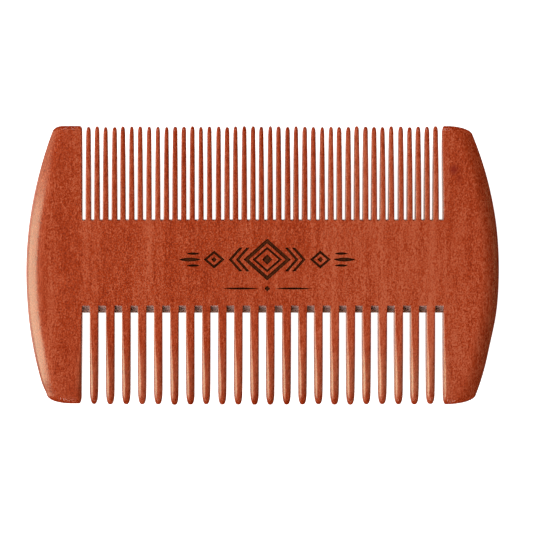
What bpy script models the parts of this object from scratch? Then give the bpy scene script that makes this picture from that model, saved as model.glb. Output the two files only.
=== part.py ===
"""Double-sided wooden beard comb, 100 x 59 x 8 mm.

The comb lies on its back: +X runs along it, +Y points to the fine teeth and +Z out of the
front face. The origin is on the surface that it rests on, under the middle of its outline.

The real comb is one board of wood. It is modelled as the regions that the saw leaves: the
spine, the two end guards, every fine tooth, and the coarse teeth in pairs that share a
stretch of root band. Regions that are one piece of wood keep JOINT_GAP between their faces.
"""
import math

import bmesh
import bpy

# Driving dimensions, in metres.
LENGTH = 0.100
WIDTH = 0.059
THICKNESS = 0.008
JOINT_GAP = 0.0003

# The two ends are arcs that differ a little: each one's radius, then the height where the
# comb is widest.
LEFT_ARC = (0.0835, -0.0017)
RIGHT_ARC = (0.0750, -0.00075)

# The board is flat between these two heights, and thins towards both rows of tips.
FINE_TAPER_Y = 0.0138
COARSE_TAPER_Y = -0.0156
FINE_TIP_THICKNESS = 0.0030
COARSE_TIP_THICKNESS = 0.0045
TAPER_POWER = 1.7

GUARD_INNER_X = 0.0381
GUARD_TOP_Y = WIDTH / 2
LEFT_BOTTOM_Y = -0.0291
RIGHT_BOTTOM_Y = -0.0293
GUARD_INNER_EASE = 0.0004
GUARD_END_EASE = 0.0008
# Each end of a guard is a quarter ellipse in plan: its reach along X, then along Y. Top first.
LEFT_CORNERS = ((0.0016, 0.0011), (0.0044, 0.0017))
RIGHT_CORNERS = ((0.0044, 0.0017), (0.0050, 0.0018))

FINE_COUNT = 41
FINE_PITCH = 0.0018265
FINE_FIRST_X = -0.03679
# The last slots were sawn at a second setting of the saw, a little further on.
FINE_RESET_TOOTH = 36
FINE_RESET_STEP = 0.00022
FINE_ROOT_Y = 0.00955
FINE_TIP_Y = 0.02935
FINE_ROOT_BREADTH = 0.00114
FINE_TIP_BREADTH = 0.00090
FINE_END_LENGTH = 0.0020
FINE_ROOT_EASE = 0.00012
FINE_TIP_EASE = 0.00022

COARSE_COUNT = 22
COARSE_PITCH = 0.003382
COARSE_MIDDLE_X = -0.00008
COARSE_ROOT_Y = -0.00843
COARSE_ROOT_DROP = 0.0016
COARSE_TIP_Y = -WIDTH / 2
COARSE_BREADTH = 0.0018
COARSE_END_LENGTH = 0.0036
COARSE_ROOT_EASE = 0.00015
COARSE_TIP_EASE = 0.00060
ROOT_BAND = 0.0015
TEETH_PER_PAIR = 2

# A tooth's rounded end stops just short of a point, keeps part of its depth, and takes
# sections at these parts of its length. The lower the power, the blunter the end.
END_BLUNTNESS = 0.97
END_POWER = 0.35
END_DEPTH_KEPT = 0.45
END_SECTIONS = (0.45, 0.75, 0.92, 1.0)
LARGEST_EASE = 0.6
# A guard's bullnose takes up at most this part of its breadth.
LARGEST_NOSE = 0.45

# Facets of the working model.
BULLNOSE_STEPS = 8
CORNER_STEPS = 4
GUARD_HALF_STEPS = 5
SMOOTH_ANGLE = math.radians(35)

# Oiled pear wood, as linear colour.
SPINE_BROWN = (0.360, 0.055, 0.018, 1.0)
GUARD_BROWN = (0.392, 0.060, 0.021, 1.0)
FINE_BROWN = (0.340, 0.050, 0.017, 1.0)
COARSE_BROWN = (0.410, 0.068, 0.024, 1.0)
WOOD_ROUGHNESS = 0.42


def clear_scene():
    for obj in list(bpy.data.objects):
        bpy.data.objects.remove(obj)


def new_collection(name):
    collection = bpy.data.collections.new(name)
    bpy.context.scene.collection.children.link(collection)
    return collection


def wood(name, colour):
    """Oiled wood as a Principled material."""
    material = bpy.data.materials.new(name)
    material.use_nodes = True
    shader = material.node_tree.nodes["Principled BSDF"]
    shader.inputs["Base Color"].default_value = colour
    shader.inputs["Roughness"].default_value = WOOD_ROUGHNESS
    shader.inputs["Metallic"].default_value = 0.0
    return material


def half_thickness(y):
    """Half of the board's thickness at height y."""
    full = THICKNESS / 2
    if y > FINE_TAPER_Y:
        along = (y - FINE_TAPER_Y) / (WIDTH / 2 - FINE_TAPER_Y)
        return full - (full - FINE_TIP_THICKNESS / 2) * along ** TAPER_POWER
    if y < COARSE_TAPER_Y:
        along = (COARSE_TAPER_Y - y) / (WIDTH / 2 + COARSE_TAPER_Y)
        return full - (full - COARSE_TIP_THICKNESS / 2) * along ** TAPER_POWER
    return full


def side_x(y, arc):
    """How far the arc of one of the comb's ends reaches from the middle at height y."""
    radius, centre_y = arc
    return LENGTH / 2 - radius + math.sqrt(radius ** 2 - (y - centre_y) ** 2)


def mesh_object(name, mesh_data, collection, material):
    """Turn a bmesh into a named object with outward faces and smooth shading."""
    bmesh.ops.recalc_face_normals(mesh_data, faces=mesh_data.faces)
    mesh = bpy.data.meshes.new(name)
    mesh_data.to_mesh(mesh)
    mesh_data.free()
    mesh.shade_smooth()
    mesh.set_sharp_from_angle(angle=SMOOTH_ANGLE)
    if material is not None:
        mesh.materials.append(material)
    obj = bpy.data.objects.new(name, mesh)
    collection.objects.link(obj)
    return obj


def loft(rings):
    """Skin a stack of rings that have the same number of points, and cap both ends."""
    mesh_data = bmesh.new()
    rows = [[mesh_data.verts.new(point) for point in ring] for ring in rings]
    count = len(rows[0])
    for lower, upper in zip(rows, rows[1:]):
        for i in range(count):
            j = (i + 1) % count
            mesh_data.faces.new((lower[i], lower[j], upper[j], upper[i]))
    mesh_data.faces.new(rows[0])
    mesh_data.faces.new(rows[-1])
    return mesh_data


def block(low, high):
    """A cube primitive stretched between two corners."""
    mesh_data = bmesh.new()
    bmesh.ops.create_cube(mesh_data, size=1.0)
    for vert in mesh_data.verts:
        for axis in range(3):
            middle = (low[axis] + high[axis]) / 2
            vert.co[axis] = middle + vert.co[axis] * (high[axis] - low[axis])
    return mesh_data


def eased_section(x, y, half_breadth, half_depth, ease):
    """A tooth's cross-section: a rectangle in XZ with its four corners cut by ease."""
    mid_z = THICKNESS / 2
    inner_x = half_breadth - ease
    inner_z = half_depth - ease
    corners = (
        (half_breadth, -inner_z), (half_breadth, inner_z),
        (inner_x, half_depth), (-inner_x, half_depth),
        (-half_breadth, inner_z), (-half_breadth, -inner_z),
        (-inner_x, -half_depth), (inner_x, -half_depth),
    )
    return [(x + dx, y, mid_z + dz) for dx, dz in corners]


def rounded_end(past, length):
    """How much of its breadth a tooth still has, past the start of its rounded end."""
    if past <= 0:
        return 1.0
    return (1 - min(past / length, END_BLUNTNESS) ** 3) ** END_POWER


def tooth_rings(x, root_y, tip_y, breadths, eases, end_length, steps):
    """Sections of one tooth from its root to its tip."""
    direction = math.copysign(1, tip_y - root_y)
    reach = abs(tip_y - root_y)
    shoulder = reach - end_length
    body = [shoulder * i / steps for i in range(steps + 1)]
    end = [shoulder + end_length * part for part in END_SECTIONS]
    rings = []
    for along in body + end:
        y = root_y + direction * along
        blend = along / reach
        breadth = breadths[0] + (breadths[1] - breadths[0]) * blend
        ease = eases[0] + (eases[1] - eases[0]) * blend ** 2
        left = rounded_end(along - shoulder, end_length)
        half_breadth = breadth / 2 * left
        half_depth = half_thickness(y) * (END_DEPTH_KEPT + (1 - END_DEPTH_KEPT) * left)
        ease = min(ease, half_breadth * LARGEST_EASE)
        rings.append(eased_section(x, y, half_breadth, half_depth, ease))
    return rings


def guard_stations(bottom_y, widest_y, top_reach, bottom_reach):
    """Heights of a guard's sections, each with how far into an end corner it is, in radians."""
    quarter = math.pi / 2
    turn = [quarter * i / CORNER_STEPS for i in range(CORNER_STEPS + 1)]
    low = bottom_y + bottom_reach
    high = GUARD_TOP_Y - top_reach
    bottom = [(low - bottom_reach * math.sin(a), a, "bottom") for a in reversed(turn)]
    body = []
    for start, stop in ((low, widest_y), (widest_y, high)):
        step = (stop - start) / GUARD_HALF_STEPS
        body += [(start + step * i, 0.0, "body") for i in range(1, GUARD_HALF_STEPS + 1)]
    top = [(high + top_reach * math.sin(a), a, "top") for a in turn[1:]]
    return bottom + body + top


def guard_section(side, arc, y, angle, corner_reach):
    """A guard's cross-section: square to the teeth on its inner edge, bullnosed on its outer."""
    mid_z = THICKNESS / 2
    inset = 1 - math.cos(angle)
    inner = GUARD_INNER_X + GUARD_INNER_EASE * inset
    outer = side_x(y, arc) - corner_reach * inset
    half_depth = half_thickness(y) - GUARD_END_EASE * inset
    nose = min(half_depth, (outer - inner) * LARGEST_NOSE)
    ring = [
        (inner + GUARD_INNER_EASE, -half_depth),
        (inner, -half_depth + GUARD_INNER_EASE),
        (inner, half_depth - GUARD_INNER_EASE),
        (inner + GUARD_INNER_EASE, half_depth),
    ]
    for i in range(BULLNOSE_STEPS + 1):
        around = math.pi / 2 - math.pi * i / BULLNOSE_STEPS
        ring.append((outer - nose + nose * math.cos(around), half_depth * math.sin(around)))
    return [(side * x, y, mid_z + z) for x, z in ring]


def build_guard(name, side, bottom_y, arc, corners, collection, material):
    top_corner, bottom_corner = corners
    reaches = {"top": top_corner[0], "bottom": bottom_corner[0], "body": 0.0}
    rings = [
        guard_section(side, arc, y, angle, reaches[where])
        for y, angle, where in guard_stations(bottom_y, arc[1], top_corner[1], bottom_corner[1])
    ]
    return mesh_object(name, loft(rings), collection, material)


def build_spine(collection, material):
    reach = GUARD_INNER_X - JOINT_GAP
    low = (-reach, COARSE_ROOT_Y + ROOT_BAND + JOINT_GAP / 2, 0.0)
    high = (reach, FINE_ROOT_Y, THICKNESS)
    return mesh_object("spine", block(low, high), collection, material)


def fine_x(number):
    step = FINE_RESET_STEP if number >= FINE_RESET_TOOTH else 0.0
    return FINE_FIRST_X + number * FINE_PITCH + step


def build_fine_tooth(number, collection, material):
    rings = tooth_rings(
        fine_x(number),
        FINE_ROOT_Y + JOINT_GAP,
        FINE_TIP_Y,
        (FINE_ROOT_BREADTH, FINE_TIP_BREADTH),
        (FINE_ROOT_EASE, FINE_TIP_EASE),
        FINE_END_LENGTH,
        3,
    )
    return mesh_object(f"fine_tooth_{number + 1:02d}", loft(rings), collection, material)


def coarse_x(number):
    return COARSE_MIDDLE_X + (number - (COARSE_COUNT - 1) / 2) * COARSE_PITCH


def root_band(first, last):
    """The stretch of wood that a pair of coarse teeth hangs from; its under side is slanted."""
    left = coarse_x(first) - COARSE_PITCH / 2 + JOINT_GAP / 2
    right = coarse_x(last) + COARSE_PITCH / 2 - JOINT_GAP / 2
    reach = GUARD_INNER_X - JOINT_GAP
    if first == 0:
        left = -reach
    if last == COARSE_COUNT - 1:
        right = reach
    top = COARSE_ROOT_Y + ROOT_BAND - JOINT_GAP / 2
    mesh_data = block((left, COARSE_ROOT_Y, 0.0), (right, top, THICKNESS))
    for vert in mesh_data.verts:
        if vert.co.y < top - ROOT_BAND / 2 and vert.co.z < THICKNESS / 2:
            vert.co.y -= COARSE_ROOT_DROP
    return mesh_data


def join_solid(target, other):
    """Boolean union of another solid into target."""
    modifier = target.modifiers.new("Join " + other.name, "BOOLEAN")
    modifier.operation = "UNION"
    modifier.object = other


def build_coarse_pair(first, collection, guides, material):
    last = first + TEETH_PER_PAIR - 1
    name = f"coarse_teeth_{first + 1:02d}_{last + 1:02d}"
    pair = mesh_object(name, root_band(first, last), collection, material)
    for number in range(first, last + 1):
        rings = tooth_rings(
            coarse_x(number),
            COARSE_ROOT_Y + ROOT_BAND / 2,
            COARSE_TIP_Y,
            (COARSE_BREADTH, COARSE_BREADTH),
            (COARSE_ROOT_EASE, COARSE_TIP_EASE),
            COARSE_END_LENGTH,
            4,
        )
        tooth = mesh_object(f"blank_coarse_tooth_{number + 1:02d}", loft(rings), guides, None)
        tooth.hide_render = True
        tooth.display_type = "WIRE"
        join_solid(pair, tooth)
    return pair


def main():
    clear_scene()
    comb = new_collection("beard_comb")
    guides = new_collection("blanks")
    spine_wood = wood("spine_wood", SPINE_BROWN)
    guard_wood = wood("guard_wood", GUARD_BROWN)
    fine_wood = wood("fine_tooth_wood", FINE_BROWN)
    coarse_wood = wood("coarse_tooth_wood", COARSE_BROWN)

    build_spine(comb, spine_wood)
    build_guard("left_guard", -1, LEFT_BOTTOM_Y, LEFT_ARC, LEFT_CORNERS, comb, guard_wood)
    build_guard("right_guard", 1, RIGHT_BOTTOM_Y, RIGHT_ARC, RIGHT_CORNERS, comb, guard_wood)
    for number in range(FINE_COUNT):
        build_fine_tooth(number, comb, fine_wood)
    for first in range(0, COARSE_COUNT, TEETH_PER_PAIR):
        build_coarse_pair(first, comb, guides, coarse_wood)


main()
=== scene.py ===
import math
import random

import bmesh
import bpy
from mathutils import Matrix, Vector, noise


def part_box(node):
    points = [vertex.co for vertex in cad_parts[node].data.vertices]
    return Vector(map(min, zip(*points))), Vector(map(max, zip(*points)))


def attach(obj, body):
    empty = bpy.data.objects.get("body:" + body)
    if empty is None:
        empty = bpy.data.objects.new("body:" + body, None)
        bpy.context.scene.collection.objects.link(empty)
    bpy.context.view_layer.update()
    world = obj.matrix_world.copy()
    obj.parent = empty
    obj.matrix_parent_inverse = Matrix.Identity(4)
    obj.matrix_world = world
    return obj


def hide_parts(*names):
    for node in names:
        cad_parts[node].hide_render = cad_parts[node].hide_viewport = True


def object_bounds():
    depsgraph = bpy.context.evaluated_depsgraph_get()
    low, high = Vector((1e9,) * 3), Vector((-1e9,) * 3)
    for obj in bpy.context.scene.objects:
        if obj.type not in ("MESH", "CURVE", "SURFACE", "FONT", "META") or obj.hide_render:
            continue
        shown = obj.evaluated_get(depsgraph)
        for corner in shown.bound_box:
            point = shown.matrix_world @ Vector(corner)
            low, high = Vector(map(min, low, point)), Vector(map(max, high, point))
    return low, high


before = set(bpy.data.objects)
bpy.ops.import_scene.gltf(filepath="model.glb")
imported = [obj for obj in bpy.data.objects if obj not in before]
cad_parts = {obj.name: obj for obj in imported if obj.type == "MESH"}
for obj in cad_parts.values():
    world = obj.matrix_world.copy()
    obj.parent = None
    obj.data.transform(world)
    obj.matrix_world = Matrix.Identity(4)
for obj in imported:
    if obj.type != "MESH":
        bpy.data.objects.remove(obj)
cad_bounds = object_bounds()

MM = 0.001

# ---------------------------------------------------------------------------------------------
# The board, read from the frame.
# ---------------------------------------------------------------------------------------------

BOARD_LOW, BOARD_HIGH = (Vector(corner) for corner in cad_bounds)
HALF_LENGTH = (BOARD_HIGH.x - BOARD_LOW.x) / 2
HALF_WIDTH = (BOARD_HIGH.y - BOARD_LOW.y) / 2
HALF_DEPTH = (BOARD_HIGH.z - BOARD_LOW.z) / 2
MID_Z = BOARD_LOW.z + HALF_DEPTH

SPINE_HIGH = Vector(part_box("spine")[1])
# The guards begin one joint gap of the CAD model beyond the spine.
JOINT_GAP = 0.3 * MM
GUARD_INNER_X = SPINE_HIGH.x + JOINT_GAP
FINE_ROOT_Y = SPINE_HIGH.y

FINE_NODES = sorted(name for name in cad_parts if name.startswith("fine_tooth_"))
PAIR_NODES = sorted(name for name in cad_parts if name.startswith("coarse_teeth_"))

# The coarse pairs' boxes give the pitch; the second pair is the first that is not widened.
PAIR_CENTRES = [(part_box(name)[0][0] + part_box(name)[1][0]) / 2 for name in PAIR_NODES]
COARSE_PITCH = (PAIR_CENTRES[-2] - PAIR_CENTRES[1]) / (2 * (len(PAIR_NODES) - 3))
COARSE_COUNT = 2 * len(PAIR_NODES)
COARSE_FIRST_X = PAIR_CENTRES[1] - 2.5 * COARSE_PITCH
COARSE_TIP_Y = BOARD_LOW.y
# Where the slots between the coarse teeth end at the front. The floor of every slot slants: at
# the back it is further out, by the drop.
COARSE_ROOT_Y = -8.43 * MM
COARSE_ROOT_DROP = 1.6 * MM
FINE_ROOT_DROP = 0.2 * MM
COARSE_HALF_BREADTH = 0.9 * MM
FINE_HALF_BREADTH = 0.585 * MM

# The outline and the lens-shaped thickness, as in the CAD model. Each end is an arc: its
# radius and the height where it is widest.
LEFT_ARC = (83.5 * MM, -1.7 * MM)
RIGHT_ARC = (75.0 * MM, -0.75 * MM)
FINE_TAPER_Y = 13.8 * MM
COARSE_TAPER_Y = -15.6 * MM
FINE_TIP_DEPTH = 1.5 * MM
COARSE_TIP_DEPTH = 2.25 * MM
TAPER_POWER = 1.7

chance = random.Random(41)


def smooth(low, high, value):
    """0 below low, 1 above high, and a smooth step between them."""
    part = min(max((value - low) / (high - low), 0.0), 1.0)
    return part * part * (3 - 2 * part)


def half_depth(y):
    """Half of the board's thickness at height y."""
    if y > FINE_TAPER_Y:
        part = (y - FINE_TAPER_Y) / (HALF_WIDTH - FINE_TAPER_Y)
        return HALF_DEPTH - (HALF_DEPTH - FINE_TIP_DEPTH) * part ** TAPER_POWER
    if y < COARSE_TAPER_Y:
        part = (COARSE_TAPER_Y - y) / (HALF_WIDTH + COARSE_TAPER_Y)
        return HALF_DEPTH - (HALF_DEPTH - COARSE_TIP_DEPTH) * part ** TAPER_POWER
    return HALF_DEPTH


def side_x(y, arc):
    """How far the arc of one of the comb's ends reaches from the middle at height y."""
    radius, centre_y = arc
    return HALF_LENGTH - radius + math.sqrt(radius ** 2 - (y - centre_y) ** 2)


# ---------------------------------------------------------------------------------------------
# Materials
# ---------------------------------------------------------------------------------------------

WOOD_DARK = (0.205, 0.015, 0.0015, 1.0)
WOOD_BASE = (0.348, 0.0355, 0.0052, 1.0)
WOOD_LIGHT = (0.475, 0.104, 0.046, 1.0)
KNOT_RED = (0.190, 0.010, 0.005, 1.0)
# The colour of the painted highlight near the coarse teeth's tips.
PAINTED_HIGHLIGHT_PALE = (0.62, 0.34, 0.19, 1.0)
# The pale end of the slot floors' colour: raw dusty wood, and partly a painted reflection of the
# white backdrop.
PAINTED_LIGHT_SAWN_PALE = (0.590, 0.350, 0.308, 1.0)
SAWN_DULL = (0.188, 0.096, 0.077, 1.0)
CHAR_DARK = (0.018, 0.006, 0.003, 1.0)
CHAR_BROWN = (0.092, 0.021, 0.006, 1.0)

# Scales of the grain's noises, per metre along X, Y and Z. All of them are longest along Y.
BANDS = (230.0, 14.0, 230.0)
STREAKS = (1000.0, 80.0, 1000.0)
FIBRES = (3000.0, 480.0, 3000.0)
FLECKS = (5200.0, 3000.0, 5200.0)

# The grain wanders this far sideways, by a noise of this scale.
SWAY_SCALE = (40.0, 22.0, 40.0)
SWAY_REACH = (4.0 * MM, 0.0, 4.0 * MM)

# Areas of the board with another tone: the middle of each, then its reach along each axis.
PALER_AREA = ((27.0 * MM, 0.0, BOARD_HIGH.z), (26.0 * MM, 60.0 * MM, 60.0 * MM))
KNOT = ((40.7 * MM, 20.2 * MM, BOARD_HIGH.z), (1.5 * MM, 1.6 * MM, 6.0 * MM))
SMALL_KNOT = ((41.9 * MM, 18.4 * MM, BOARD_HIGH.z), (1.0 * MM, 1.3 * MM, 6.0 * MM))

# A painted highlight makes the coarse teeth paler near their tips. Each pair says where it is nil,
# and where it is full: along Y from the root, along Y from the tip, and sideways from the middle.
HIGHLIGHT_FROM_ROOT = (-15.0 * MM, -24.0 * MM)
HIGHLIGHT_FROM_TIP = (-28.6 * MM, -25.2 * MM)
HIGHLIGHT_SIDEWAYS = (40.0 * MM, 38.5 * MM)

# The oil makes the wood reflect strongly. The flat faces are this much rougher than the edges.
OILED_IOR = 1.8
SANDED_ROUGHER = 0.27
GRAIN_RELIEF = 0.05 * MM


class Nodes:
    """A short way to add and link the nodes of one material."""

    def __init__(self, name):
        self.material = bpy.data.materials.new(name)
        self.material.use_nodes = True
        self.tree = self.material.node_tree
        self.shader = self.tree.nodes["Principled BSDF"]

    def add(self, kind, settings=None, **inputs):
        node = self.tree.nodes.new("ShaderNode" + kind)
        for key, value in (settings or {}).items():
            setattr(node, key, value)
        for key, value in inputs.items():
            self.put(node.inputs[key.replace("_", " ")], value)
        return node

    def put(self, socket, value):
        if isinstance(value, bpy.types.NodeSocket):
            self.tree.links.new(value, socket)
        else:
            socket.default_value = value

    def math(self, operation, first, second=0.0, third=0.0):
        node = self.add("Math", {"operation": operation})
        for socket, value in zip(node.inputs, (first, second, third)):
            self.put(socket, value)
        return node.outputs["Value"]

    def mix(self, factor, first, second):
        node = self.add("Mix", {"data_type": "RGBA"})
        self.put(node.inputs[0], factor)
        self.put(node.inputs[6], first)
        self.put(node.inputs[7], second)
        return node.outputs[2]

    def noise(self, where, scale, detail=2.0, roughness=0.5):
        """Noise stretched by a per-metre scale along each axis."""
        mapping = self.add("Mapping", Vector=where, Scale=scale)
        texture = self.add("TexNoise", Vector=mapping.outputs["Vector"], Scale=1.0,
                           Detail=detail, Roughness=roughness)
        return texture.outputs["Fac"]

    def spread(self, value, low, high):
        """Map low..high to 0..1, clamped and smoothed."""
        node = self.add("MapRange", {"interpolation_type": "SMOOTHSTEP"}, Value=value)
        node.inputs["From Min"].default_value = low
        node.inputs["From Max"].default_value = high
        return node.outputs["Result"]


def wavy_grain(wood):
    """Object coordinates, plain and then pushed sideways so that the grain wanders."""
    where = wood.add("TexCoord").outputs["Object"]
    sway = wood.add("Mapping", Vector=where, Scale=SWAY_SCALE)
    drift = wood.add("TexNoise", Vector=sway.outputs["Vector"], Scale=1.0, Detail=1.0)
    centred = wood.add("VectorMath", {"operation": "SUBTRACT"})
    wood.put(centred.inputs[0], drift.outputs["Color"])
    centred.inputs[1].default_value = (0.5, 0.5, 0.5)
    scaled = wood.add("VectorMath", {"operation": "MULTIPLY"})
    wood.put(scaled.inputs[0], centred.outputs[0])
    scaled.inputs[1].default_value = SWAY_REACH
    moved = wood.add("VectorMath", {"operation": "ADD"})
    wood.put(moved.inputs[0], where)
    wood.put(moved.inputs[1], scaled.outputs[0])
    return where, moved.outputs[0]


def spot(wood, where, centre, reach):
    """1 at centre, falling to 0 over an ellipse of the given reach."""
    offset = wood.add("VectorMath", {"operation": "SUBTRACT"})
    wood.put(offset.inputs[0], where)
    offset.inputs[1].default_value = centre
    shaped = wood.add("VectorMath", {"operation": "DIVIDE"})
    wood.put(shaped.inputs[0], offset.outputs[0])
    shaped.inputs[1].default_value = reach
    length = wood.add("VectorMath", {"operation": "LENGTH"})
    wood.put(length.inputs[0], shaped.outputs[0])
    return wood.spread(length.outputs["Value"], 1.0, 0.15)


def knots(wood, grain):
    """How strongly the two knots of the right guard stain the wood."""
    small = wood.math("MULTIPLY", spot(wood, grain, *SMALL_KNOT), 0.45)
    stain = wood.math("MAXIMUM", spot(wood, grain, *KNOT), small)
    return wood.math("MULTIPLY", stain, 0.75)


def painted_tip_highlight(wood, where, facing, paler):
    """Painted highlight near the coarse teeth's tips, most on their left edges, which face the lamps
    at the left.
    """
    place = wood.add("SeparateXYZ", Vector=where)
    highlight_share = wood.spread(place.outputs["Y"], *HIGHLIGHT_FROM_ROOT)
    highlight_share = wood.math("MULTIPLY", highlight_share, wood.spread(place.outputs["Y"], *HIGHLIGHT_FROM_TIP))
    sideways = wood.math("ABSOLUTE", place.outputs["X"])
    highlight_share = wood.math("MULTIPLY", highlight_share, wood.spread(sideways, *HIGHLIGHT_SIDEWAYS))
    highlight_share = wood.math("MULTIPLY", highlight_share, wood.math("MULTIPLY_ADD", paler, 0.07, 0.07))
    # Edges that face the lamps at the left get most of the painted highlight.
    facing_left_lamps = wood.spread(facing.outputs["X"], -0.05, -0.6)
    return wood.math("MULTIPLY", highlight_share, wood.math("MULTIPLY_ADD", facing_left_lamps, 1.9, 1.0))


def pear_wood():
    """Close-grained reddish pear wood, oiled to a satin finish; the grain runs along Y. It carries a
    painted highlight near the coarse teeth's tips.
    """
    wood = Nodes("oiled_pear_wood")
    where, grain = wavy_grain(wood)
    bands = wood.noise(grain, BANDS)
    streaks = wood.noise(grain, STREAKS, detail=3.0, roughness=0.6)
    fibres = wood.noise(grain, FIBRES, roughness=0.6)
    flecks = wood.noise(grain, FLECKS, detail=1.0)
    facing = wood.add("SeparateXYZ", Vector=wood.add("TexCoord").outputs["Normal"])
    end_grain = wood.spread(wood.math("ABSOLUTE", facing.outputs["Y"]), 0.30, 0.95)
    flat = wood.spread(wood.math("ABSOLUTE", facing.outputs["Z"]), 0.93, 1.0)
    paler = spot(wood, where, *PALER_AREA)

    # The tone runs from 0 for the darkest wood to 1 for the lightest.
    tone = 0.5
    for grain_noise, weight in ((bands, 0.6), (streaks, 0.58), (fibres, 0.8), (flecks, 1.9)):
        centred = wood.math("MULTIPLY_ADD", grain_noise, weight, -weight / 2)
        tone = wood.math("ADD", centred, tone)
    tone = wood.math("MULTIPLY_ADD", paler, 0.13, tone)
    tone = wood.math("MULTIPLY_ADD", end_grain, -0.26, tone)
    ramp = wood.add("ValToRGB", Fac=tone)
    colours = ramp.color_ramp
    colours.elements[0].position = 0.12
    colours.elements[0].color = WOOD_DARK
    colours.elements[1].position = 0.88
    colours.elements[1].color = WOOD_LIGHT
    colours.elements.new(0.5).color = WOOD_BASE
    colour = wood.mix(knots(wood, grain), ramp.outputs["Color"], KNOT_RED)
    # A painted highlight near the coarse teeth's tips.
    colour = wood.mix(painted_tip_highlight(wood, where, facing, paler), colour, PAINTED_HIGHLIGHT_PALE)
    wood.put(wood.shader.inputs["Base Color"], colour)

    roughness = wood.math("MULTIPLY_ADD", fibres, 0.16, 0.2)
    roughness = wood.math("MULTIPLY_ADD", flat, SANDED_ROUGHER, roughness)
    wood.put(wood.shader.inputs["Roughness"], roughness)
    wood.shader.inputs["IOR"].default_value = OILED_IOR
    wood.shader.inputs["Specular IOR Level"].default_value = 1.0

    relief = wood.math("ADD", fibres, wood.math("MULTIPLY", flecks, 0.6))
    relief = wood.math("ADD", relief, wood.math("MULTIPLY", streaks, 0.8))
    strength = wood.math("MULTIPLY_ADD", end_grain, -0.30, 0.38)
    bump = wood.add("Bump", Height=relief, Strength=strength, Distance=GRAIN_RELIEF)
    wood.put(wood.shader.inputs["Normal"], bump.outputs["Normal"])
    return wood.material


def sawn_wood_painted_light():
    """The raw, dusty wood that the saw leaves at the bottom of a slot, with painted light: it is
    painted paler towards the back face, against the slot's shade, and its pale grey-pink is partly a
    painted reflection of the white backdrop.
    """
    sawn = Nodes("sawn_pear_wood_painted_light")
    where = sawn.add("TexCoord").outputs["Object"]
    dust = sawn.noise(where, (2600.0, 900.0, 900.0), detail=3.0, roughness=0.7)
    height = sawn.add("SeparateXYZ", Vector=where).outputs["Z"]
    # Painted light: the slot floors are painted paler towards the back face, where the slot's shade
    # is darkest.
    painted_light_lower_down = sawn.spread(height, BOARD_HIGH.z, BOARD_LOW.z)
    patchy = sawn.math("MULTIPLY_ADD", sawn.spread(dust, 0.3, 0.7), 0.6, -0.1)
    pale = sawn.math("ADD", painted_light_lower_down, patchy)
    colour = sawn.mix(pale, SAWN_DULL, PAINTED_LIGHT_SAWN_PALE)
    sawn.put(sawn.shader.inputs["Base Color"], colour)
    sawn.put(sawn.shader.inputs["Roughness"], sawn.math("MULTIPLY_ADD", dust, 0.2, 0.7))
    bump = sawn.add("Bump", Height=dust, Strength=0.5, Distance=GRAIN_RELIEF)
    sawn.put(sawn.shader.inputs["Normal"], bump.outputs["Normal"])
    sawn.shader.inputs["Specular IOR Level"].default_value = 0.3
    return sawn.material


def burnt_wood():
    """Charred wood at the bottom of the burnt ornament."""
    char = Nodes("burnt_wood")
    where = char.add("TexCoord").outputs["Object"]
    soot = char.noise(where, (4200.0, 1400.0, 4200.0), detail=3.0, roughness=0.7)
    facing = char.add("SeparateXYZ", Vector=char.add("TexCoord").outputs["Normal"])
    floor = char.spread(facing.outputs["Z"], 0.90, 0.98)
    brown = char.math("MULTIPLY", char.spread(soot, 0.30, 0.62), floor)
    colour = char.mix(brown, CHAR_DARK, CHAR_BROWN)
    char.put(char.shader.inputs["Base Color"], colour)
    char.put(char.shader.inputs["Roughness"], char.math("MULTIPLY_ADD", soot, 0.3, 0.6))
    char.shader.inputs["Specular IOR Level"].default_value = 0.2
    bump = char.add("Bump", Height=soot, Strength=0.6, Distance=GRAIN_RELIEF)
    char.put(char.shader.inputs["Normal"], bump.outputs["Normal"])
    return char.material


# ---------------------------------------------------------------------------------------------
# Mesh helpers
# ---------------------------------------------------------------------------------------------

# Faces that meet at a larger angle than this are shaded with a crease between them.
SHARP_ANGLE = math.radians(50)


def add_piece(name, verts, faces, materials, nodes):
    """A smooth-shaded piece that stands for CAD nodes and moves with the comb's one body."""
    mesh = bpy.data.meshes.new(name)
    mesh.from_pydata(verts, [], faces)
    for material in materials:
        mesh.materials.append(material)
    data = bmesh.new()
    data.from_mesh(mesh)
    bmesh.ops.recalc_face_normals(data, faces=data.faces)
    data.to_mesh(mesh)
    data.free()
    mesh.shade_smooth()
    mesh.set_sharp_from_angle(angle=SHARP_ANGLE)
    piece = bpy.data.objects.new(name, mesh)
    bpy.context.scene.collection.objects.link(piece)
    weighted = piece.modifiers.new("Even shading", "WEIGHTED_NORMAL")
    weighted.keep_sharp = True
    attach(piece, "root")
    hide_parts(*nodes)
    return piece


def skin(rings):
    """Vertices and faces that join a stack of rings and cap both ends."""
    count = len(rings[0])
    verts = [point for ring in rings for point in ring]
    faces = []
    for row in range(len(rings) - 1):
        base = row * count
        for i in range(count):
            j = (i + 1) % count
            faces.append((base + i, base + j, base + count + j, base + count + i))
    faces.append(tuple(range(count)))
    last = (len(rings) - 1) * count
    faces.append(tuple(range(last, last + count)))
    return verts, faces


def corner_arc(centre_x, centre_z, reach_x, reach_z, start, steps, power=1.0):
    """A quarter ellipse of steps + 1 points, from the angle start, turning clockwise.

    A power above 1 flattens it towards a chamfer.
    """
    points = []
    for i in range(steps + 1):
        angle = start - math.pi / 2 * i / steps
        across = math.copysign(abs(math.cos(angle)) ** power, math.cos(angle))
        upward = math.copysign(abs(math.sin(angle)) ** power, math.sin(angle))
        points.append((centre_x + reach_x * across, centre_z + reach_z * upward))
    return points


# ---------------------------------------------------------------------------------------------
# Teeth. The right edge of every tooth is sanded rounder than the left one.
# ---------------------------------------------------------------------------------------------

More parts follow.
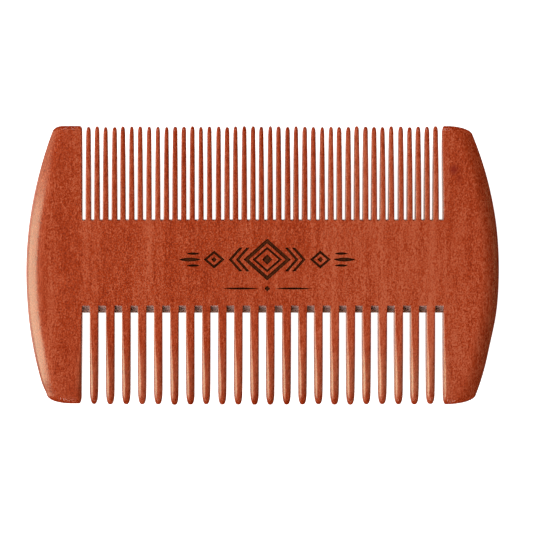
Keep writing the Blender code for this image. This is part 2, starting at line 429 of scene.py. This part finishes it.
ARC_STEPS = 7
# The lower this power, the blunter a tooth's end.
END_POWER = 0.35
# A tooth's sections: how far past the slot's floor the first one is, how many steps the straight
# part and the rounded end each have, and where in the rounded end the last one is, just short of
# the tip so that it keeps some breadth.
FIRST_SECTION = 0.4 * MM
TOOTH_STEPS = 12
LAST_SECTION = 0.9985
# The share of its thickness that a tooth keeps at its very tip.
TIP_SHARE = 0.35
# The edges are nearly square at the root plane, and are eased over this stretch of the tooth.
ROOT_EASE_SHARE = 0.05
ROOT_STRETCH = (-0.001, 0.03)
# The largest share of a tooth's breadth or half thickness that each edge's ease takes up.
MOST_LEFT = 0.45
MOST_RIGHT = 0.54
MOST_DEEP = 0.9


def tooth_section(left, right, depth, eases, ease_z, left_power):
    """A tooth's section in XZ: a rectangle with rounded corners, as (x, z) points."""
    ease_l, ease_r = eases
    inner_l = left + ease_l
    inner_r = right - ease_r
    inner_z = depth - ease_z
    quarter = math.pi / 2
    section = []
    section += corner_arc(inner_l, inner_z, ease_l, ease_z, math.pi, ARC_STEPS, left_power)
    section += corner_arc(inner_r, inner_z, ease_r, ease_z, quarter, ARC_STEPS)
    section += corner_arc(inner_r, -inner_z, ease_r, ease_z, 0.0, ARC_STEPS)
    section += corner_arc(inner_l, -inner_z, ease_l, ease_z, -quarter, ARC_STEPS, left_power)
    return section


def end_profile(past, length):
    """The share of its breadth that a tooth keeps at a distance into its rounded end."""
    if past <= 0:
        return 1.0
    return max(1 - (past / length) ** 3, 0.0) ** END_POWER


def tooth_rings(spec):
    """Sections from the root plane to the tip. spec holds one tooth's own sizes."""
    direction = math.copysign(1, spec["tip_y"] - spec["root_y"])
    reach = abs(spec["tip_y"] - spec["root_y"])
    longest = max(spec["end_left"], spec["end_right"], spec["end_depth"])
    body = reach - longest
    start = spec["drop"] + FIRST_SECTION
    stations = [0.0]
    for i in range(TOOTH_STEPS + 1):
        stations.append(start + (body - start) * (i / TOOTH_STEPS))
    for i in range(1, TOOTH_STEPS):
        stations.append(body + longest * math.sin(math.pi / 2 * i / TOOTH_STEPS))
    stations.append(body + longest * LAST_SECTION)
    rings = []
    for number, along in enumerate(stations):
        y = spec["root_y"] + direction * along
        part = along / reach
        bend = spec["bend"] * part ** 2
        half = spec["half_root"] + (spec["half_tip"] - spec["half_root"]) * part
        left = half * end_profile(along - (reach - spec["end_left"]), spec["end_left"])
        right = half * end_profile(along - (reach - spec["end_right"]), spec["end_right"])
        keep = end_profile(along - (reach - spec["end_depth"]), spec["end_depth"])
        depth = half_depth(y) * (TIP_SHARE + (1 - TIP_SHARE) * keep)
        breadth = left + right
        grown = smooth(*spec["ease_span"], part)
        ease = spec["ease_root"] + (spec["ease_tip"] - spec["ease_root"]) * grown
        ease *= smooth(*ROOT_STRETCH, part) if number else ROOT_EASE_SHARE
        ease_left = min(ease, breadth * MOST_LEFT)
        ease_right = min(ease * spec["ease_right"], breadth * MOST_RIGHT)
        ease_z = min(ease * spec["ease_depth"], depth * MOST_DEEP)
        eases = (ease_left, ease_right)
        ring = []
        for x, z in tooth_section(-left, right, depth, eases, ease_z, spec["left_power"]):
            slant = 0.0
            if number == 0:
                slant = spec["drop"] * (depth - z) / (2 * depth)
            ring.append((spec["x"] + bend + x, y + direction * slant, MID_Z + z))
        rings.append(ring)
    return rings


def fine_teeth(material):
    """The 41 fine teeth, one piece each, with the small differences of a hand-finished comb."""
    for number, node in enumerate(FINE_NODES):
        low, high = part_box(node)
        x = (low[0] + high[0]) / 2
        spec = {
            "x": x + chance.uniform(-0.03, 0.03) * MM,
            "root_y": FINE_ROOT_Y,
            "tip_y": high[1] + chance.uniform(-0.10, 0.12) * MM,
            "drop": FINE_ROOT_DROP,
            "half_root": FINE_HALF_BREADTH + chance.uniform(-0.02, 0.02) * MM,
            "half_tip": (0.47 + chance.uniform(-0.03, 0.03)) * MM,
            "end_left": (2.5 + chance.uniform(-0.7, 0.7)) * MM,
            "end_right": (1.3 + chance.uniform(-0.3, 0.6)) * MM,
            "end_depth": 1.5 * MM,
            "bend": chance.uniform(-0.05, 0.05) * MM,
            "ease_root": 0.25 * MM,
            "ease_tip": 0.33 * MM,
            "ease_span": (0.4, 1.0),
            "ease_depth": 1.1,
            "ease_right": 2.8,
            "left_power": 1.2,
        }
        verts, faces = skin(tooth_rings(spec))
        name = f"fine_tooth_{number + 1:02d}_wood"
        add_piece(name, verts, faces, [material], [node])


def coarse_teeth(material):
    """The 22 coarse teeth, one piece each; the first and the last are a little shorter."""
    for number in range(COARSE_COUNT):
        node = PAIR_NODES[number // 2]
        shorter = (0.28 if number in (0, COARSE_COUNT - 1) else 0.12) * MM
        spec = {
            "x": COARSE_FIRST_X + number * COARSE_PITCH + chance.uniform(-0.03, 0.03) * MM,
            "root_y": COARSE_ROOT_Y,
            "tip_y": COARSE_TIP_Y + shorter + chance.uniform(-0.09, 0.09) * MM,
            "drop": COARSE_ROOT_DROP,
            "half_root": COARSE_HALF_BREADTH + chance.uniform(-0.02, 0.02) * MM,
            "half_tip": COARSE_HALF_BREADTH + chance.uniform(-0.03, 0.02) * MM,
            "end_left": (3.7 + chance.uniform(-0.4, 0.5)) * MM,
            "end_right": (3.5 + chance.uniform(-0.5, 0.4)) * MM,
            "end_depth": 2.4 * MM,
            "bend": chance.uniform(-0.05, 0.05) * MM,
            "ease_root": 0.22 * MM,
            "ease_tip": 0.84 * MM,
            "ease_span": (0.06, 0.90),
            "ease_depth": 0.8,
            "ease_right": 1.5,
            "left_power": 1.4,
        }
        verts, faces = skin(tooth_rings(spec))
        name = f"coarse_tooth_{number + 1:02d}_wood"
        add_piece(name, verts, faces, [material], [node])


# ---------------------------------------------------------------------------------------------
# Guards
# ---------------------------------------------------------------------------------------------

GUARD_TOP_Y = BOARD_HIGH.y
# Each end of a guard is a quarter ellipse in plan: its reach along X, then along Y. Top first.
LEFT_CORNERS = ((1.6 * MM, 1.1 * MM), (4.4 * MM, 1.7 * MM))
RIGHT_CORNERS = ((4.4 * MM, 1.7 * MM), (5.0 * MM, 1.8 * MM))
# The bullnose reaches in at least this far, even where the board is thin, but over no more than
# this share of the guard.
NOSE_REACH = 3.7 * MM
NOSE_SHARE = 0.54
NOSE_STEPS = 26
INNER_STEPS = 5
GUARD_BODY_STEPS = 64
GUARD_CORNER_STEPS = 18
# At the very end of a guard its inner edge and its faces are tucked in by this much.
EDGE_TUCK = 0.5 * MM
FACE_TUCK = 0.9 * MM
FACE_TUCK_POWER = 1.4
# The inner long edges' radius along the spine, then what comes on top of it beside the slots
# and further towards the tips, with the stretch over which that second part grows. END_EDGE
# comes on top of both at the very end, and no radius takes more of the guard than EDGE_SHARE.
SPINE_EDGE = 0.02 * MM
SLOT_STRETCH = (0.0, 2.0 * MM)
FINE_EDGE = (0.26 * MM, 0.12 * MM, (6.0 * MM, 20.0 * MM))
COARSE_EDGE = (0.28 * MM, 0.60 * MM, (3.0 * MM, 20.0 * MM))
END_EDGE = 0.25 * MM
EDGE_SHARE = 0.3
# How far the inner faces lean, each over this length: the right one at the fine teeth, the left
# one at the coarse teeth.
RIGHT_LEAN = 0.22 * MM
LEFT_LEAN = 0.13 * MM
LEAN_LENGTH = 18.0 * MM
# Hand sanding: the waves over the outer edges, and one hollow on each side, by its depth, its
# height on the comb and its half length. It starts and is full this far from the inner face.
WAVE_HEIGHT = 0.05 * MM
WAVE_SCALE = Vector((130.0, 90.0, 130.0))
LEFT_HOLLOW = (0.35 * MM, -27.3 * MM, 1.6 * MM)
RIGHT_HOLLOW = (0.22 * MM, -16.5 * MM, 4.5 * MM)
SANDED_STRETCH = (1.5 * MM, 5.0 * MM)


def guard_stations(bottom_y, top, bottom):
    """Heights of a guard's sections with the angle into an end corner, and the corner's reach."""
    low = bottom_y + bottom[1]
    high = GUARD_TOP_Y - top[1]
    quarter = math.pi / 2
    turn = [quarter * i / GUARD_CORNER_STEPS for i in range(GUARD_CORNER_STEPS + 1)]
    stations = [(low - bottom[1] * math.sin(a), a, bottom[0]) for a in reversed(turn)]
    for i in range(1, GUARD_BODY_STEPS):
        stations.append((low + (high - low) * i / GUARD_BODY_STEPS, 0.0, 0.0))
    stations += [(high + top[1] * math.sin(a), a, top[0]) for a in turn]
    return stations


def inner_ease(y):
    """Radius of a guard's inner long edges: hardly any along the spine, growing to the tips."""
    if y > FINE_ROOT_Y:
        past = y - FINE_ROOT_Y
        near, far, stretch = FINE_EDGE
    elif y < COARSE_ROOT_Y:
        past = COARSE_ROOT_Y - y
        near, far, stretch = COARSE_EDGE
    else:
        return SPINE_EDGE
    return SPINE_EDGE + near * smooth(*SLOT_STRETCH, past) + far * smooth(*stretch, past)


def inner_edge(side, y):
    """How far a guard's inner face is from the middle: it leans in at the right, out at the left."""
    if side > 0:
        return GUARD_INNER_X - RIGHT_LEAN * smooth(0, LEAN_LENGTH, y - FINE_ROOT_Y)
    return GUARD_INNER_X + LEFT_LEAN * smooth(0, LEAN_LENGTH, COARSE_ROOT_Y - y)


def guard_ring(side, arc, y, angle, corner_reach):
    """A guard's section at height y, with the angle into an end corner (0 between them)."""
    tuck = 1 - math.cos(angle)
    inner = inner_edge(side, y) + EDGE_TUCK * tuck
    outer = side_x(y, arc) - corner_reach * tuck
    depth = half_depth(y) - FACE_TUCK * tuck ** FACE_TUCK_POWER
    nose = min(max(depth, NOSE_REACH), (outer - inner) * NOSE_SHARE)
    ease = min(inner_ease(y) + END_EDGE * tuck, (outer - inner) * EDGE_SHARE)
    section = []
    section += corner_arc(inner + ease, depth - ease, ease, ease, math.pi, INNER_STEPS)
    for i in range(NOSE_STEPS + 1):
        around = math.pi / 2 - math.pi * i / NOSE_STEPS
        section.append((outer - nose + nose * math.cos(around), depth * math.sin(around)))
    section += corner_arc(inner + ease, -depth + ease, ease, ease, -math.pi / 2, INNER_STEPS)
    ring = []
    for x, z in section:
        point = Vector((side * x, y, MID_Z + z))
        ring.append(point + hand_sanding(point))
    return ring


def hand_sanding(point):
    """The slight unevenness that sanding by hand leaves on the rounded outer edges."""
    away = smooth(*SANDED_STRETCH, abs(point.x) - GUARD_INNER_X)
    amount = WAVE_HEIGHT * away * noise.noise(point * WAVE_SCALE)
    depth, height, reach = RIGHT_HOLLOW if point.x > 0 else LEFT_HOLLOW
    amount -= depth * away * math.exp(-((point.y - height) / reach) ** 2)
    return Vector((math.copysign(1, point.x) * amount, 0, 0))


def guard(name, side, arc, corners, material):
    """One guard as a single skin over its sections; side is -1 at the left and 1 at the right."""
    stations = guard_stations(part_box(name)[0][1], *corners)
    rings = [guard_ring(side, arc, y, angle, reach) for y, angle, reach in stations]
    verts, faces = skin(rings)
    add_piece(name + "_wood", verts, faces, [material], [name])


# ---------------------------------------------------------------------------------------------
# Spine, with its burnt ornament
# ---------------------------------------------------------------------------------------------

# The spine's edges are eased by ROOT_EASE in a slot and all but square where a tooth grows; they
# go from one to the other over EASE_FADE.
ROOT_EASE = 0.14 * MM
SQUARE_EDGE = 0.01 * MM
EASE_FADE = 0.12 * MM
EASE_STEPS = 4
# Sections of the spine that are closer together than this are taken as one.
CLOSEST_SECTIONS = 0.004 * MM
# The faces whose normal leans towards Y more than this are floors of slots.
SLOT_FLOOR_FACING = 0.9


def slots(centres, half_breadth):
    """The gaps between neighbouring teeth, and between the end teeth and the guards."""
    edges = [-GUARD_INNER_X]
    for centre in centres:
        edges += [centre - half_breadth, centre + half_breadth]
    edges.append(GUARD_INNER_X)
    return list(zip(edges[0::2], edges[1::2]))


def slot_ease(x, gaps):
    """Radius of the spine's edge at x: eased inside a slot, square where a tooth grows."""
    for start, stop in gaps:
        if start - EASE_FADE <= x <= stop + EASE_FADE:
            inside = min(x - start, stop - x)
            return SQUARE_EDGE + ROOT_EASE * smooth(-EASE_FADE * 0.2, EASE_FADE, inside)
    return SQUARE_EDGE


def spine_section(top, bottom):
    """The spine's section in YZ at one place along the comb, clockwise from the front's top.

    top and bottom are the radii of its edges there.
    """
    quarter = math.pi / 2
    front, back = BOARD_HIGH.z, BOARD_LOW.z
    top_back_y = FINE_ROOT_Y + FINE_ROOT_DROP
    bottom_back_y = COARSE_ROOT_Y - COARSE_ROOT_DROP
    section = []
    section += corner_arc(FINE_ROOT_Y - top, front - top, top, top, quarter, EASE_STEPS)
    section += corner_arc(top_back_y - top, back + top, top, top, 0.0, EASE_STEPS)
    section += corner_arc(bottom_back_y + bottom, back + bottom, bottom, bottom, -quarter, EASE_STEPS)
    section += corner_arc(COARSE_ROOT_Y + bottom, front - bottom, bottom, bottom, math.pi, EASE_STEPS)
    return section


def spine_stations(gap_lists):
    """Where the spine needs a section along X: at both ends and at the edges of every slot."""
    places = {-GUARD_INNER_X, GUARD_INNER_X}
    for gaps in gap_lists:
        for start, stop in gaps:
            places.update((start, start + EASE_FADE / 2, start + EASE_FADE))
            places.update((stop, stop - EASE_FADE / 2, stop - EASE_FADE))
    ordered = sorted(places)
    kept = [ordered[0]]
    for place in ordered[1:]:
        if place - kept[-1] > CLOSEST_SECTIONS:
            kept.append(place)
    return kept


# The walls of a burnt stroke slant in by this much on the way down, and the cutter flares out
# by this much above the face.
WALL_SLANT = 0.11 * MM
WALL_FLARE = 0.025 * MM


def lozenge(x, y, reach_x, reach_y):
    """The outline of a lozenge around a point."""
    return [(x - reach_x, y), (x, y - reach_y), (x + reach_x, y), (x, y + reach_y)]


def ring_lozenge(x, y, reach_x, reach_y, stroke):
    """The outer and inner outlines of a lozenge drawn with a stroke."""
    shrink = 1 - stroke * math.hypot(reach_x, reach_y) / (reach_x * reach_y)
    return lozenge(x, y, reach_x, reach_y), lozenge(x, y, reach_x * shrink, reach_y * shrink)


def inset(outline, amount):
    """The outline moved inwards by amount, with its sharpest corners held back."""
    ring = [Vector(point) for point in outline]
    area = sum(a.x * b.y - b.x * a.y for a, b in zip(ring, ring[1:] + ring[:1]))
    moved = []
    for before, here, after in zip(ring[-1:] + ring[:-1], ring, ring[1:] + ring[:1]):
        along = (here - before).normalized() + (after - here).normalized()
        push = 2 * amount * math.copysign(1, area) / max(along.length_squared, 0.5)
        moved.append((here.x - along.y * push, here.y + along.x * push))
    return moved


def slanted_prism(data, outline, low, high):
    """A prism with slanted walls over an outline."""
    prism(data, inset(outline, WALL_SLANT), inset(outline, -WALL_FLARE), low, high)


def prism(data, bottom_outline, top_outline, low, high):
    """A closed prism between two outlines, added to a bmesh."""
    bottom = [data.verts.new((x, y, low)) for x, y in bottom_outline]
    top = [data.verts.new((x, y, high)) for x, y in top_outline]
    data.faces.new(list(reversed(bottom)))
    data.faces.new(top)
    count = len(bottom)
    for i in range(count):
        j = (i + 1) % count
        data.faces.new((bottom[i], bottom[j], top[j], top[i]))


def frame_prism(data, outer, inner, low, high):
    """A closed prism with slanted walls over the band between two outlines."""
    rows = []
    levels = (
        (inset(outer, WALL_SLANT), low), (inset(outer, -WALL_FLARE), high),
        (inset(inner, WALL_FLARE), high), (inset(inner, -WALL_SLANT), low),
    )
    for outline, z in levels:
        rows.append([data.verts.new((x, y, z)) for x, y in outline])
    count = len(outer)
    for a, b in zip(rows, rows[1:] + rows[:1]):
        for i in range(count):
            j = (i + 1) % count
            data.faces.new((a[i], a[j], b[j], b[i]))


def leaf(x0, x1, y, thick, steps=14):
    """A long thin leaf along X, pointed at both ends."""
    upper = []
    for i in range(steps + 1):
        part = i / steps
        upper.append((x0 + (x1 - x0) * part, y + thick * math.sin(math.pi * part) ** 0.8))
    lower = [(x, 2 * y - v) for x, v in reversed(upper[1:-1])]
    return upper + lower


# The middle of the ornament, its depth, and how far its cutter stands out of the face.
ORNAMENT_X = 0.9 * MM
ORNAMENT_Y = 1.3 * MM
BURN_DEPTH = 0.22 * MM
CUTTER_RISE = 0.05 * MM


def chevron(tip_x, y, reach_x, reach_y, stroke):
    """An arrowhead drawn with a stroke; reach_x is signed, away from the tip."""
    back = math.copysign(stroke, reach_x)
    end_x = tip_x + reach_x
    return [
        (tip_x, y), (end_x, y + reach_y), (end_x + back, y + reach_y),
        (tip_x + back, y), (end_x + back, y - reach_y), (end_x, y - reach_y),
    ]


def ornament_cutter(material):
    """A generic divider of lozenges, arrowheads and tapered lines, to burn into the face.

    ring, line and diamond take millimetres, from the ornament's middle.
    """
    data = bmesh.new()
    low = BOARD_HIGH.z - BURN_DEPTH
    high = BOARD_HIGH.z + CUTTER_RISE
    x, y = ORNAMENT_X, ORNAMENT_Y

    def ring(centre, reach_x, reach_y, stroke):
        outlines = ring_lozenge(x + centre * MM, y, reach_x * MM, reach_y * MM, stroke * MM)
        frame_prism(data, *outlines, low, high)

    def line(near, far, rise, thick):
        start, stop = sorted((x + near * MM, x + far * MM))
        level = y + rise * MM
        half = thick * MM
        bottom = leaf(start + WALL_SLANT, stop - WALL_SLANT, level, half - WALL_SLANT)
        top = leaf(start - WALL_FLARE, stop + WALL_FLARE, level, half + WALL_FLARE)
        prism(data, bottom, top, low, high)

    def diamond(centre, rise, reach):
        outline = lozenge(x + centre * MM, y + rise * MM, reach * MM, reach * MM)
        slanted_prism(data, outline, low, high)

    ring(0.0, 5.0, 4.4, 0.75)
    ring(0.0, 3.1, 2.7, 0.45)
    diamond(0.0, 0.0, 1.1)
    line(-1.6, -9.5, -6.1, 0.2)
    line(1.6, 9.5, -6.1, 0.2)
    diamond(0.0, -6.1, 0.6)
    for side in (-1, 1):
        for place in (6.6, 8.1):
            arrow = chevron(x + side * place * MM, y, -side * 2.2 * MM, 2.5 * MM, 0.7 * MM)
            slanted_prism(data, arrow, low, high)
        ring(side * 11.2, 2.2, 1.9, 0.5)
        diamond(side * 11.2, 0.0, 0.6)
        line(side * 14.0, side * 18.6, 0.0, 0.42)
        line(side * 14.2, side * 17.0, 1.25, 0.26)
        line(side * 14.2, side * 17.0, -1.25, 0.26)
    bmesh.ops.recalc_face_normals(data, faces=data.faces)
    mesh = bpy.data.meshes.new("ornament_cutter")
    data.to_mesh(mesh)
    data.free()
    mesh.materials.append(material)
    cutter = bpy.data.objects.new("ornament_cutter", mesh)
    bpy.context.scene.collection.objects.link(cutter)
    return cutter


def spine(wood, char, sawn):
    """The middle of the board, raw wood with painted light on its slot floors, with the ornament cut
    into it.
    """
    fine_centres = [(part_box(name)[0][0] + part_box(name)[1][0]) / 2 for name in FINE_NODES]
    coarse_centres = [COARSE_FIRST_X + i * COARSE_PITCH for i in range(COARSE_COUNT)]
    fine_gaps = slots(fine_centres, FINE_HALF_BREADTH)
    coarse_gaps = slots(coarse_centres, COARSE_HALF_BREADTH)
    rings = []
    for x in spine_stations((fine_gaps, coarse_gaps)):
        section = spine_section(slot_ease(x, fine_gaps), slot_ease(x, coarse_gaps))
        rings.append([(x, y, z) for y, z in section])
    verts, faces = skin(rings)
    piece = add_piece("spine_wood", verts, faces, [wood, char, sawn], ["spine"])
    raw = piece.data.materials.find(sawn.name)
    for face in piece.data.polygons:
        if abs(face.normal.y) > SLOT_FLOOR_FACING:
            face.material_index = raw
    cutter = ornament_cutter(char)
    burn = piece.modifiers.new("Burnt ornament", "BOOLEAN")
    burn.operation = "DIFFERENCE"
    burn.solver = "EXACT"
    burn.material_mode = "TRANSFER"
    burn.object = cutter
    bpy.context.view_layer.update()
    with bpy.context.temp_override(object=piece, active_object=piece):
        bpy.ops.object.modifier_move_to_index(modifier=burn.name, index=0)
        bpy.ops.object.modifier_apply(modifier=burn.name)
    bpy.data.objects.remove(cutter)


# ---------------------------------------------------------------------------------------------
# Stage, light and camera
# ---------------------------------------------------------------------------------------------

def stage_floor():
    """A pale sheet lit from behind, which the comb lies on. Only the camera sees it."""
    mesh = bpy.data.meshes.new("stage_floor")
    data = bmesh.new()
    bmesh.ops.create_grid(data, x_segments=1, y_segments=1, size=3.0)
    data.to_mesh(mesh)
    data.free()
    floor = bpy.data.objects.new("stage_floor", mesh)
    floor.location.z = BOARD_LOW.z
    bpy.context.scene.collection.objects.link(floor)
    pale = Nodes("pale_acrylic")
    pale.shader.inputs["Base Color"].default_value = (0.85, 0.85, 0.85, 1.0)
    pale.shader.inputs["Roughness"].default_value = 0.5
    pale.shader.inputs["Emission Color"].default_value = (1.0, 1.0, 1.0, 1.0)
    pale.shader.inputs["Emission Strength"].default_value = 1.0
    mesh.materials.append(pale.material)
    floor.visible_diffuse = False
    floor.visible_glossy = False
    floor.visible_shadow = False


# The surroundings look white to the camera and add only this much light.
WORLD_GLOW = 0.009
WHITE = (1.0, 1.0, 1.0)
CARD_COLOUR = (1.0, 1.0, 0.70)
GLINT_COLOUR = (1.0, 0.76, 0.66)
WARM_COLOUR = (1.0, 0.8, 0.4)


def soft_light(name, place, size, power, colour=WHITE):
    """A rectangular lamp that faces the middle of the comb."""
    data = bpy.data.lights.new(name, "AREA")
    data.shape = "RECTANGLE"
    data.size, data.size_y = size
    data.energy = power
    data.color = colour
    light = bpy.data.objects.new(name, data)
    light.location = place
    aim = Vector((0, 0, MID_Z)) - Vector(place)
    light.rotation_euler = aim.to_track_quat("-Z", "Y").to_euler()
    bpy.context.scene.collection.objects.link(light)
    return light


def surroundings():
    """White for the camera, and a faint glow for everything else."""
    world = bpy.context.scene.world or bpy.data.worlds.new("studio")
    bpy.context.scene.world = world
    world.use_nodes = True
    tree = world.node_tree
    background = tree.nodes["Background"]
    background.inputs["Color"].default_value = (*WHITE, 1.0)
    seen = tree.nodes.new("ShaderNodeLightPath").outputs["Is Camera Ray"]
    glow = tree.nodes.new("ShaderNodeMath")
    glow.operation = "MULTIPLY_ADD"
    tree.links.new(seen, glow.inputs[0])
    glow.inputs[1].default_value = 1.0 - WORLD_GLOW
    glow.inputs[2].default_value = WORLD_GLOW
    tree.links.new(glow.outputs[0], background.inputs["Strength"])


def lamps():
    """Two lit cards at the left, and weaker lamps around the comb.

    The lamps in sheen only make reflections and those in matt only light the wood, so that the
    reflections can be dimmer than one set of lamps would make them.
    """
    card = ((-0.91, -0.11, 0.06), (0.60, 1.16))
    wide_card = ((-0.94, -0.03, 0.02), (1.2, 1.80))
    sheen = [
        soft_light("sheen_left", *card, 4.0, CARD_COLOUR),
        soft_light("sheen_left_wide", *wide_card, 3.35, CARD_COLOUR),
        soft_light("glint_below", (-0.14, 0.0, -0.50), (0.22, 0.7), 0.60, GLINT_COLOUR),
    ]
    for light in sheen:
        light.visible_diffuse = False
    matt = [
        soft_light("card_left", *card, 7.5, CARD_COLOUR),
        soft_light("card_left_wide", *wide_card, 6.0, CARD_COLOUR),
        soft_light("lamp_front", (-0.26, -0.90, 0.50), (0.5, 0.5), 14.1),
        soft_light("lamp_back", (-0.26, 0.90, 0.50), (0.5, 0.5), 15.3),
        soft_light("lamp_below", (0.0, 0.0, -0.50), (1.0, 1.0), 4.7, WARM_COLOUR),
        soft_light("fill_right", (0.90, 0.0, -0.25), (0.5, 0.5), 4.2, WARM_COLOUR),
    ]
    for light in matt:
        light.visible_glossy = False


# The camera's place and what it looks at, from the middle of the comb, and its lens in mm.
CAMERA_OFFSET = Vector((-14.3 * MM, 10.0 * MM, 1.136))
TARGET_OFFSET = Vector((0.8 * MM, -0.2 * MM, 0.0))
LENS = 363
SENSOR_WIDTH = 36


def camera():
    """Above the comb and a little to the left, on a long lens, with the comb's +Y upwards."""
    middle = Vector((0.0, 0.0, MID_Z))
    data = bpy.data.cameras.new("camera")
    data.lens = LENS
    data.sensor_width = SENSOR_WIDTH
    data.clip_end = 10
    cam = bpy.data.objects.new("camera", data)
    cam.location = middle + CAMERA_OFFSET
    ahead = (TARGET_OFFSET - CAMERA_OFFSET).normalized()
    right = ahead.cross(Vector((0, 1, 0))).normalized()
    up = right.cross(ahead)
    cam.rotation_euler = Matrix((right, up, -ahead)).transposed().to_euler()
    bpy.context.scene.collection.objects.link(cam)
    bpy.context.scene.camera = cam


def main():
    """The whole comb, and the studio around it."""
    wood = pear_wood()
    char = burnt_wood()
    spine(wood, char, sawn_wood_painted_light())
    guard("left_guard", -1, LEFT_ARC, LEFT_CORNERS, wood)
    guard("right_guard", 1, RIGHT_ARC, RIGHT_CORNERS, wood)
    fine_teeth(wood)
    coarse_teeth(wood)
    stage_floor()
    surroundings()
    lamps()
    camera()
    bpy.context.scene.view_settings.view_transform = "Standard"


main()
